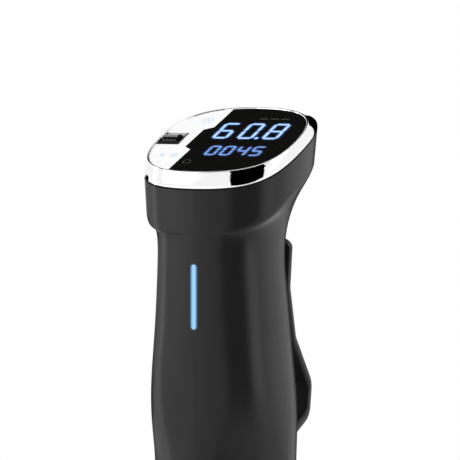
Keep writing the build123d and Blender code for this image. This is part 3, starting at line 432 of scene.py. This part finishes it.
# %% The bar's finish
BAR_HALF_WIDTH = 0.0015
BAR_CORE_SHARE = 0.35
BAR_STRENGTH = 0.85
BAR_CORE = (0.33, 0.68, 0.93)
BAR_EDGE = (0.04, 0.24, 0.72)
bar_light, bar_tree, bar_shader = new_material("bar_light", LIT_ROUGHNESS)
bar_shader.inputs["Base Color"].default_value = (0.02, 0.05, 0.08, 1)
bar_shader.inputs["Emission Strength"].default_value = BAR_STRENGTH
bar_place = bar_tree.nodes.new("ShaderNodeTexCoord")
bar_axes = bar_tree.nodes.new("ShaderNodeSeparateXYZ")
bar_tree.links.new(bar_place.outputs["Object"], bar_axes.inputs["Vector"])
from_middle = bar_tree.nodes.new("ShaderNodeMath")
from_middle.operation = "ABSOLUTE"
bar_tree.links.new(bar_axes.outputs["X"], from_middle.inputs[0])
edge_share = bar_tree.nodes.new("ShaderNodeMapRange")
edge_share.inputs["From Min"].default_value = BAR_CORE_SHARE * BAR_HALF_WIDTH
edge_share.inputs["From Max"].default_value = BAR_HALF_WIDTH
bar_tree.links.new(from_middle.outputs["Value"], edge_share.inputs["Value"])
bar_tone = blended(bar_tree, edge_share.outputs["Result"], BAR_CORE, BAR_EDGE)
bar_tree.links.new(bar_tone, bar_shader.inputs["Emission Color"])
wear(bar_light, "light_guide")
print("light bar, mm wide:", 2 * MM_PER_METRE * BAR_HALF_WIDTH)

# %% [markdown]
# ## Faces between rings
# Several pieces of this lesson are rings of points with faces between them: the faint light around the
# bar, the roller, the band and the prisms of the figures. Blender's bridge tool could join such rings,
# but a short loop says exactly which corners meet.

# %% Skin over rings


def skin(rings, count, closed=False):
    """Four-sided faces between rings of points that follow each other."""
    faces = []
    for ring in range(rings if closed else rings - 1):
        here, above = ring * count, (ring + 1) % rings * count
        for step in range(count):
            beside = (step + 1) % count
            faces.append((here + step, here + beside, above + beside, above + step))
    return faces


print("faces between two rings of four points:", len(skin(2, 4)))

# %% [markdown]
# ## The faint light around the bar
# A lit strip seems to spill a little blue on the plastic right beside it. The bar lies almost flush, so
# its own light hardly reaches the grip. So a very thin frame lies around it, just behind its front, and
# glows faintly. Its outline is the bar's own, two half rounds joined by straight sides, and a short
# skirt leads it back into the grip.

# %% Frame of faint light
BAR_HALF_STRAIGHT = 0.0145
HALO_REACH = 0.0006
HALO_RISE = 0.00004
HALO_SKIRT = 0.00016
HALO_ARC_STEPS = 16
HALO_CLOUD = 400
bar_low, bar_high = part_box("light_guide")
bar_middle_z = (bar_low.z + bar_high.z) / 2
halo_front = bar_low.y + HALO_RISE


def bar_loop(radius, y):
    """Points around the bar's rounded outline, in the plane of its front."""
    loop = []
    for end in (1, -1):
        for step in range(HALO_ARC_STEPS + 1):
            angle = math.pi * step / HALO_ARC_STEPS
            x = end * radius * math.cos(angle)
            z = bar_middle_z + end * (BAR_HALF_STRAIGHT + radius * math.sin(angle))
            loop.append((x, y, z))
    return loop


halo_loops = [
    bar_loop(BAR_HALF_WIDTH, halo_front),
    bar_loop(BAR_HALF_WIDTH + HALO_REACH, halo_front),
    bar_loop(BAR_HALF_WIDTH + HALO_REACH, halo_front + HALO_SKIRT),
]
halo_points = [point for loop in halo_loops for point in loop]
halo = mesh_object("bar_halo", halo_points, skin(len(halo_loops), len(halo_loops[0])))
halo_glow = glowing("bar_halo_glow", (0.012, 0.060, 0.13), (0.008, 0.035, 0.08), 1.0, HALO_CLOUD)
halo.data.materials.append(halo_glow)
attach(halo, "housing")
print("halo faces:", len(halo.data.polygons))

# %% [markdown]
# ## The panel's own plane
# The display panel leans back by 24 degrees. Working out each mark's place in the frame would be
# tiresome, so everything on the panel is laid out in a plane of its own: u across, v up the slope and n
# out of the panel, in millimetres. One matrix carries that plane into the frame.

# %% The panel's plane
TILT = math.radians(24)
PANEL_CENTRE_Y = 2.0
PANEL_CENTRE_Z = 364.0
panel_plane = Matrix((
    (1, 0, 0, 0),
    (0, math.cos(TILT), -math.sin(TILT), PANEL_CENTRE_Y),
    (0, math.sin(TILT), math.cos(TILT), PANEL_CENTRE_Z),
    (0, 0, 0, 1),
))


def panel_point(u, v, n):
    """A place on the panel, in millimetres, as a point of the frame."""
    return (panel_plane @ Vector((u, v, n))) / MM_PER_METRE


print("panel middle:", tuple(round(value, 4) for value in panel_point(0, 0, 0)))

# %% [markdown]
# ## The thumb roller
# The roller lies across the panel near its left edge, and only its crown stands out of the slot. It is
# turned metal with shallow ribs, so its upper half mirrors the bright wall and its lower half the dark
# room. A turned ring with a little wave in its radius gives the ribs, and smooth normals keep the two
# halves clean. It is a copy of the solid roller in place and size, with a shorter right end that leaves
# the dark of the slot open to the eye.

# %% Outline of the roller
ROLLER_AXIS_V, ROLLER_AXIS_N = 1.5, -3.8
ROLLER_LEFT, ROLLER_RIGHT = -36.2, -28.4
ROLLER_RADIUS = 5.2
EDGE_BREAK = 0.1
ROLLER_RIBS = 22
RIB_HEIGHT = 0.05
RING_STEPS = 8 * ROLLER_RIBS
roller_outline = [
    (ROLLER_LEFT, ROLLER_RADIUS - EDGE_BREAK),
    (ROLLER_LEFT + EDGE_BREAK, ROLLER_RADIUS),
    (ROLLER_LEFT + 2 * EDGE_BREAK, ROLLER_RADIUS),
    (ROLLER_RIGHT - 2 * EDGE_BREAK, ROLLER_RADIUS),
    (ROLLER_RIGHT - EDGE_BREAK, ROLLER_RADIUS),
    (ROLLER_RIGHT, ROLLER_RADIUS - EDGE_BREAK),
]
print("roller, mm long:", round(ROLLER_RIGHT - ROLLER_LEFT, 2))

# %% [markdown]
# Turning the outline gives one ring of points for each of its corners. The bands of faces between the
# two broken edges are the crown and get the metal. The ends and the broken edges get a painted shade in
# flat black, the same painted shade as in the slot around them.

# %% Turn the roller
CROWN_BANDS = (1, 2, 3)
turned_points = []
for u, reach in roller_outline:
    for step in range(RING_STEPS):
        angle = 2 * math.pi * step / RING_STEPS
        radius = reach + RIB_HEIGHT / 2 * (math.cos(ROLLER_RIBS * angle) - 1)
        v = ROLLER_AXIS_V + radius * math.sin(angle)
        n = ROLLER_AXIS_N + radius * math.cos(angle)
        turned_points.append(panel_point(u, v, n))
turned_faces = skin(len(roller_outline), RING_STEPS)
turned_faces.append(tuple(reversed(range(RING_STEPS))))
turned_faces.append(tuple(range(len(turned_points) - RING_STEPS, len(turned_points))))
roller = mesh_object("ribbed_roller", turned_points, turned_faces)
# A flat black that paints the shade in the slot and at the roller's ends.
slot_shade_black = finish("slot_shade_black", (0.004, 0.004, 0.004), 0.5, depth=0.02, gloss=0.15)
roller.data.materials.append(roller_grey)
roller.data.materials.append(slot_shade_black)
# Faces off the crown get the painted shade.
for face in roller.data.polygons:
    on_crown = face.index // RING_STEPS in CROWN_BANDS
    face.use_smooth = on_crown
    face.material_index = 0 if on_crown else 1
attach(roller, "roller")
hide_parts("scroll_roller")
print("roller faces:", len(turned_faces))

# %% [markdown]
# ## The slot's painted shade
# Around the roller the shade in the slot is painted on as a thin black sheet. In front a flange of it
# lies on the panel and rises to a low lip before the roller, which keeps the white of the panel out of
# the roller's mirror. Boxes would meet badly at the corners, so one section, an upright wall with a
# flange on top, goes along the slot's front and up both its ends.

# %% Paint the slot's shade
SLOT_LEFT, SLOT_RIGHT, SLOT_FRONT, SLOT_REAR = -37.3, -25.4, -4.1, 7.1
SHADE_WALL = 0.30
SHADE_DEPTH = 1.9
SHADE_GAP = 0.03
FRONT_FLANGE, END_FLANGE = 1.90, 0.25
FLANGE_TOP = 0.22
LIP_TOP = 0.75
CORNERS = 4
shade_section = [
    (-SHADE_WALL, -SHADE_WALL, -SHADE_DEPTH, -SHADE_DEPTH),
    (-SHADE_WALL, -SHADE_WALL, LIP_TOP, FLANGE_TOP),
    (FRONT_FLANGE, END_FLANGE, FLANGE_TOP, FLANGE_TOP),
    (FRONT_FLANGE, END_FLANGE, SHADE_GAP, SHADE_GAP),
    (-SHADE_GAP, -SHADE_GAP, SHADE_GAP, SHADE_GAP),
    (-SHADE_GAP, -SHADE_GAP, -SHADE_DEPTH, -SHADE_DEPTH),
]
shade_points = []
for front, end, n_front, n_rear in shade_section:
    shade_points.append(panel_point(SLOT_LEFT - end, SLOT_REAR, n_rear))
    shade_points.append(panel_point(SLOT_LEFT - end, SLOT_FRONT - front, n_front))
    shade_points.append(panel_point(SLOT_RIGHT + end, SLOT_FRONT - front, n_front))
    shade_points.append(panel_point(SLOT_RIGHT + end, SLOT_REAR, n_rear))
rows = len(shade_section)
shade_faces = [
    tuple(CORNERS * row for row in range(rows)),
    tuple(CORNERS * (row + 1) - 1 for row in reversed(range(rows))),
]
for row in range(rows):
    for corner in range(CORNERS - 1):
        here, beside = CORNERS * row + corner, CORNERS * ((row + 1) % rows) + corner
        shade_faces.append((here, here + 1, beside + 1, beside))
# A thin black sheet of painted shade, in the slot and on the panel before it.
slot_shade = mesh_object("roller_slot_painted_shade", shade_points, shade_faces)
slot_shade.data.materials.append(slot_shade_black)
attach(slot_shade, "housing")
print("lining faces:", len(shade_faces))

# %% [markdown]
# ## The cover's tongue
# A moulded rear cover has a tongue behind its edge, so that no light shows through the seam from side to
# side. One that follows every curve of the seam would never be seen, so four thin strips inside cross
# the seam's plane: a pair in the grip and, closer together, a pair in the neck. Each pair has its
# distance from the axis and its two heights, in millimetres.

# %% Strips behind the seam
TONGUE_THICKNESS = 0.5
TONGUE_FRONT, TONGUE_REAR = 10.8, 15.2
GRIP_STRIP = (22.0, 237, 296)
NECK_STRIP = (12.0, 296, 312)
BOX_FACES = ((3, 2, 1, 0), (4, 5, 6, 7), (0, 1, 5, 4), (1, 2, 6, 5), (2, 3, 7, 6), (3, 0, 4, 7))
tongue_points = []
tongue_faces = []
for side in (1, -1):
    for from_axis, low, high in (GRIP_STRIP, NECK_STRIP):
        inner = from_axis if side > 0 else -from_axis - TONGUE_THICKNESS
        first = len(tongue_points)
        for x in (inner, inner + TONGUE_THICKNESS):
            for y, z in (
                (TONGUE_FRONT, low), (TONGUE_REAR, low), (TONGUE_REAR, high), (TONGUE_FRONT, high),
            ):
                tongue_points.append((x / MM_PER_METRE, y / MM_PER_METRE, z / MM_PER_METRE))
        for face in BOX_FACES:
            tongue_faces.append(tuple(first + corner for corner in face))
tongue = mesh_object("cover_tongue", tongue_points, tongue_faces)
tongue.data.materials.append(inner_plastic)
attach(tongue, "housing")
print("tongue strips:", len(tongue_faces) // len(BOX_FACES))

# %% [markdown]
# ## The chrome band
# A mirror shows every flat facet of a mesh, and the solid that came from the CAD model has long ones. A
# subdivision modifier would round its crisp edges away. So the band is swept again over the same lines:
# its foot on the housing, its shoulder, and the two edges of its lip are outlines of four Bezier
# quarters, made of points close enough for a mirror.

# %% Outlines of four quarters
QUARTER_STEPS = 48


def cubic(points, share):
    """A point on a cubic Bezier curve."""
    rest = 1 - share
    weights = (rest ** 3, 3 * rest ** 2 * share, 3 * rest * share ** 2, share ** 3)
    return sum((weight * Vector(point) for weight, point in zip(weights, points)), Vector((0, 0)))


def oval_loop(level, half_width, front, back, front_fullness, back_fullness):
    """A rounded outline of four Bezier quarters at one level of the panel's plane."""
    middle = (front + back) / 2
    loop = []
    for side, tip, fullness in (
        (half_width, back, back_fullness), (-half_width, front, front_fullness),
    ):
        pull = middle + fullness * (tip - middle)
        rise = ((side, middle), (side, pull), (fullness * side, tip), (0, tip))
        fall = ((0, tip), (-fullness * side, tip), (-side, pull), (-side, middle))
        for quarter in (rise, fall):
            for step in range(QUARTER_STEPS):
                place = cubic(quarter, step / QUARTER_STEPS)
                loop.append(Vector((place.x, place.y, level)))
    return loop


print("points in one outline:", 4 * QUARTER_STEPS)

# %% [markdown]
# Four of the band's five lines are the panel's outline with a margin. The fifth, its foot, is the
# housing's own outline, which is drawn in plan, so it is first laid over onto the slope.

# %% The band's lines
PANEL_HALF_WIDTH = 38.0
PANEL_HALF_HEIGHT = 36.5
PANEL_FULLNESS = 0.72
HEAD_HALF_WIDTH = 39.4
HEAD_FRONT, HEAD_BACK = -35.0, 47.34
HEAD_FRONT_FULLNESS, HEAD_BACK_FULLNESS = 0.78, 0.76
BAND_DEPTH = 6.0
SHOULDER_DROP = 1.2
LIP_RISE = 0.4
BORE_MARGIN, SHOULDER_MARGIN = -1.0, 1.54
LIP_OUTER_MARGIN, LIP_INNER_MARGIN = 1.1, 0.15


def panel_loop(level, margin):
    """The panel's outline grown by a margin."""
    reach = PANEL_HALF_HEIGHT + margin
    return oval_loop(
        level, PANEL_HALF_WIDTH + margin, -reach, reach, PANEL_FULLNESS, PANEL_FULLNESS
    )


def along_slope(y):
    """Where a depth in plan falls on the slope at the band's foot."""
    return (y - PANEL_CENTRE_Y) / math.cos(TILT) - BAND_DEPTH * math.tan(TILT)


foot = oval_loop(
    -BAND_DEPTH, HEAD_HALF_WIDTH, along_slope(HEAD_FRONT), along_slope(HEAD_BACK),
    HEAD_FRONT_FULLNESS, HEAD_BACK_FULLNESS,
)
band_corners = [
    panel_loop(-BAND_DEPTH, BORE_MARGIN), foot, panel_loop(-SHOULDER_DROP, SHOULDER_MARGIN),
    panel_loop(LIP_RISE, LIP_OUTER_MARGIN), panel_loop(LIP_RISE, LIP_INNER_MARGIN),
]
print("lines of the band:", len(band_corners))

# %% [markdown]
# Polished metal never has a razor edge. Two close rings at each line leave it a hair's breadth of
# rounding that catches the light. A bevel modifier could do it, but rings of our own keep the faces in
# even rows, and smooth normals then bend only where the edge is.

# %% Sweep the band
EDGE_ROUND = 0.14
LARGEST_SHARE = 0.4
rings = []
for corner, after in zip(band_corners, band_corners[1:] + band_corners[:1]):
    for near_start in (True, False):
        ring = []
        for start, end in zip(corner, after):
            share = min(LARGEST_SHARE, EDGE_ROUND / max((end - start).length, EDGE_ROUND))
            ring.append(start.lerp(end, share if near_start else 1 - share))
        rings.append(ring)
band_points = [panel_point(*point) for ring in rings for point in ring]
band = mesh_object("polished_band", band_points, skin(len(rings), len(foot), closed=True))
band.data.shade_smooth()
band.data.materials.append(chrome)
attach(band, "housing")
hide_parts("chrome_bezel")
print("band faces:", len(band.data.polygons))

# %% [markdown]
# ## The strokes of a figure
# The display shows figures of seven strokes, lettered a to g as display makers do. Type could be turned
# into a mesh, but its figures have round bowls. So each stroke is drawn between two points as a bar with
# six corners, pointed at both ends, and a figure is the list of the strokes that are lit.

# %% Strokes
STROKES = {
    "0": "abcdef", "4": "bcfg", "5": "acdfg", "6": "acdefg", "8": "abcdefg",
}
TIP_CUT = 0.15
SHOULDER_LENGTH = 1.1


def stroke_outline(start, end, half, grow):
    """The six corners of a pointed stroke between two points, widened by grow."""
    first, last = Vector(start), Vector(end)
    along = (last - first).normalized()
    across = Vector((-along.y, along.x)) * (half + grow)
    tip = along * (half * TIP_CUT - grow)
    shoulder = along * (half * SHOULDER_LENGTH)
    return [
        first + tip, first + shoulder - across, last - shoulder - across,
        last - tip, last - shoulder + across, first + shoulder + across,
    ]


def figure_lines(character, left, bottom, width, height, half):
    """The middle lines of one figure's strokes."""
    x0, x1 = left + half, left + width - half
    y0, y1, y2 = bottom + half, bottom + height / 2, bottom + height - half
    lines = {
        "a": ((x0, y2), (x1, y2)), "b": ((x1, y2), (x1, y1)), "c": ((x1, y1), (x1, y0)),
        "d": ((x0, y0), (x1, y0)), "e": ((x0, y1), (x0, y0)), "f": ((x0, y2), (x0, y1)),
        "g": ((x0, y1), (x1, y1)),
    }
    return [lines[stroke] for stroke in STROKES[character]]


print("figures that can be drawn:", len(STROKES))

# %% [markdown]
# ## Marks on the panel
# Figures, signs and print all lie on the panel as very thin prisms: a flat outline with a top, a bottom
# and sides. A picture laid over the panel would be flat and would blur close by. One helper makes the
# prisms and one puts them on the housing with their finish.

# %% Prisms on the panel


def prisms(name, outlines, low, high):
    """Thin prisms over flat outlines on the panel, as one mesh."""
    points, faces = [], []
    for outline in outlines:
        start, count = len(points), len(outline)
        points += [panel_point(p[0], p[1], low) for p in outline]
        points += [panel_point(p[0], p[1], high) for p in outline]
        faces.append(tuple(range(start + count, start + 2 * count)))
        faces.append(tuple(reversed(range(start, start + count))))
        faces += [tuple(start + corner for corner in face) for face in skin(2, count)]
    return mesh_object(name, points, faces)


def on_panel(name, outlines, layer, material):
    """A set of flat marks that lie on the panel and move with the housing."""
    made = prisms(name, outlines, *layer)
    made.data.materials.append(material)
    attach(made, "housing")


print("prisms ready")

# %% [markdown]
# ## The lit figures
# Two rows of figures lean a little to the right. Under each lit stroke lie two wider and darker ones,
# for the blue edge and the faint halo that light makes in smoked plastic. A glare effect would need the
# picture to be worked over afterwards, and other views would lose it. Each row has its text, the left
# edges of its figures, their bottom, width and height, and half the width of a stroke.

# %% Rows of figures
FIGURE_LEAN = 0.03
FAINT_LAYER, EDGE_LAYER, LIT_LAYER = (0.01, 0.03), (0.03, 0.05), (0.05, 0.08)
EDGE_REACH, FAINT_REACH = 0.35, 1.1
LARGE_ROW = ("608", (-10.2, 3.8, 17.7), 1.5, 8.8, 17.6, 0.76)
SMALL_ROW = ("0045", (-5.6, 2.6, 10.8, 18.9), -17.3, 5.7, 10.2, 0.44)


def row_outlines(text, lefts, bottom, width, height, half, grow):
    """The leaning stroke outlines of a row of figures, wider by grow on every side."""
    outlines = []
    for character, left in zip(text, lefts):
        for start, end in figure_lines(character, left, bottom, width, height, half):
            outline = stroke_outline(start, end, half, grow)
            outlines.append([(p[0] + (p[1] - bottom) * FIGURE_LEAN, p[1]) for p in outline])
    return outlines


for row_name, row, lit in (("large", LARGE_ROW, figure_light), ("small", SMALL_ROW, small_light)):
    for part, grow, layer, light in (
        ("_figures", 0.0, LIT_LAYER, lit),
        ("_edge_glow", EDGE_REACH, EDGE_LAYER, edge_glow),
        ("_faint_glow", FAINT_REACH, FAINT_LAYER, faint_glow),
    ):
        on_panel(row_name + part, row_outlines(*row, grow), layer, light)
print("figures:", LARGE_ROW[0], SMALL_ROW[0])

# %% [markdown]
# The large row has a point before its last figure. It is a small round prism, with a blue edge under it
# as the strokes have.

# %% The point
POINT_U, POINT_V = 14.8, 2.4
POINT_RADIUS = 1.0
POINT_EDGE_REACH = 0.4
POINT_SIDES = 20


def disc_outline(u, v, radius):
    """A round outline on the panel."""
    turns = [2 * math.pi * step / POINT_SIDES for step in range(POINT_SIDES)]
    return [(u + radius * math.cos(turn), v + radius * math.sin(turn)) for turn in turns]


for name, radius, layer, light in (
    ("figure_point", POINT_RADIUS, LIT_LAYER, figure_light),
    ("point_edge_glow", POINT_RADIUS + POINT_EDGE_REACH, EDGE_LAYER, edge_glow),
):
    on_panel(name, [disc_outline(POINT_U, POINT_V, radius)], layer, light)
print("point, mm across:", 2 * POINT_RADIUS)

# %% [markdown]
# ## Rings and bars
# Signs and unlit marks are small line drawings. Curves with a thickness could draw them, but two kinds
# of outline are enough here: a ring in short four-sided pieces, and a plain bar.

# %% Rings and bars
RING_SIDES = 24


def ring_outlines(u, v, radius, half):
    """A thin ring as a row of short four-sided pieces."""
    outlines = []
    for step in range(RING_SIDES):
        turn = 2 * math.pi * step / RING_SIDES
        after = 2 * math.pi * (step + 1) / RING_SIDES
        outlines.append([
            (u + (radius + reach) * math.cos(angle), v + (radius + reach) * math.sin(angle))
            for angle, reach in ((turn, -half), (turn, half), (after, half), (after, -half))
        ])
    return outlines


def bar_outline(u, v, half_width, half_height):
    """A four-sided mark around a middle point."""
    return [
        (u - half_width, v - half_height), (u + half_width, v - half_height),
        (u + half_width, v + half_height), (u - half_width, v + half_height),
    ]


print("pieces in a ring:", RING_SIDES)

# %% [markdown]
# ## Touch signs
# The white panel has two touch places with small pale blue signs, a clock and a start and pause sign.
# They are print, hardly raised, so they are prisms a few hundredths of a millimetre high, made of rings
# and bars. Each hand of the clock has its place beside the clock's middle and half its width and height.

# %% Touch signs
PRINT_LAYER = (0.005, 0.03)
TIMER_U, TIMER_V = -21.5, 21.8
TIMER_RADIUS = 2.6
TIMER_HALF_LINE = 0.3
TIMER_HANDS = ((0.0, 0.8, TIMER_HALF_LINE, 0.9), (0.7, 0.0, 0.8, TIMER_HALF_LINE))
START_U, START_V = -24.4, -18.1
START_HALF_HEIGHT = 2.0
ARROW_BACK, ARROW_TIP = -5, -1.6
PAUSE_BARS = (1.8, 3.8)
PAUSE_HALF_WIDTH = 0.5
sign_blue = finish("printed_sign_blue", (0.52, 0.66, 0.84), 0.35, grain=1500, depth=0.02)
timer_sign = ring_outlines(TIMER_U, TIMER_V, TIMER_RADIUS, TIMER_HALF_LINE)
for du, dv, half_width, half_height in TIMER_HANDS:
    timer_sign.append(bar_outline(TIMER_U + du, TIMER_V + dv, half_width, half_height))
start_sign = [[
    (START_U + ARROW_BACK, START_V - START_HALF_HEIGHT), (START_U + ARROW_TIP, START_V),
    (START_U + ARROW_BACK, START_V + START_HALF_HEIGHT),
]]
for shift in PAUSE_BARS:
    start_sign.append(bar_outline(START_U + shift, START_V, PAUSE_HALF_WIDTH, START_HALF_HEIGHT))
on_panel("timer_sign", timer_sign, PRINT_LAYER, sign_blue)
on_panel("start_sign", start_sign, PRINT_LAYER, sign_blue)
print("prisms in the signs:", len(timer_sign) + len(start_sign))

# %% [markdown]
# ## Unlit marks
# The black window also has marks that are only seen when they are lit. Unlit, they are a shade greyer
# than the window: three bars above the figures and a ring in the lower corner, which has its place, its
# radius and half its line. A material with a mask could hide them in the window, but small prisms stay
# sharp from close by.

# %% Unlit marks
MARK_COUNT = 3
MARK_FIRST_U, MARK_PITCH, MARK_V = 9.0, 6.0, 24.6
MARK_HALF_WIDTH, MARK_HALF_HEIGHT = 2.2, 0.5
RING_MARK = (-11.2, -25.1, 2.0, 0.25)
unlit_grey = finish("unlit_mark_grey", (0.020, 0.020, 0.022), 0.35, grain=1500, depth=0.02)
unlit_marks = [
    bar_outline(MARK_FIRST_U + MARK_PITCH * step, MARK_V, MARK_HALF_WIDTH, MARK_HALF_HEIGHT)
    for step in range(MARK_COUNT)
]
unlit_marks += ring_outlines(*RING_MARK)
on_panel("unlit_marks", unlit_marks, PRINT_LAYER, unlit_grey)
print("prisms in the unlit marks:", len(unlit_marks))

# %% Count the materials
print("materials in all:", len(bpy.data.materials))
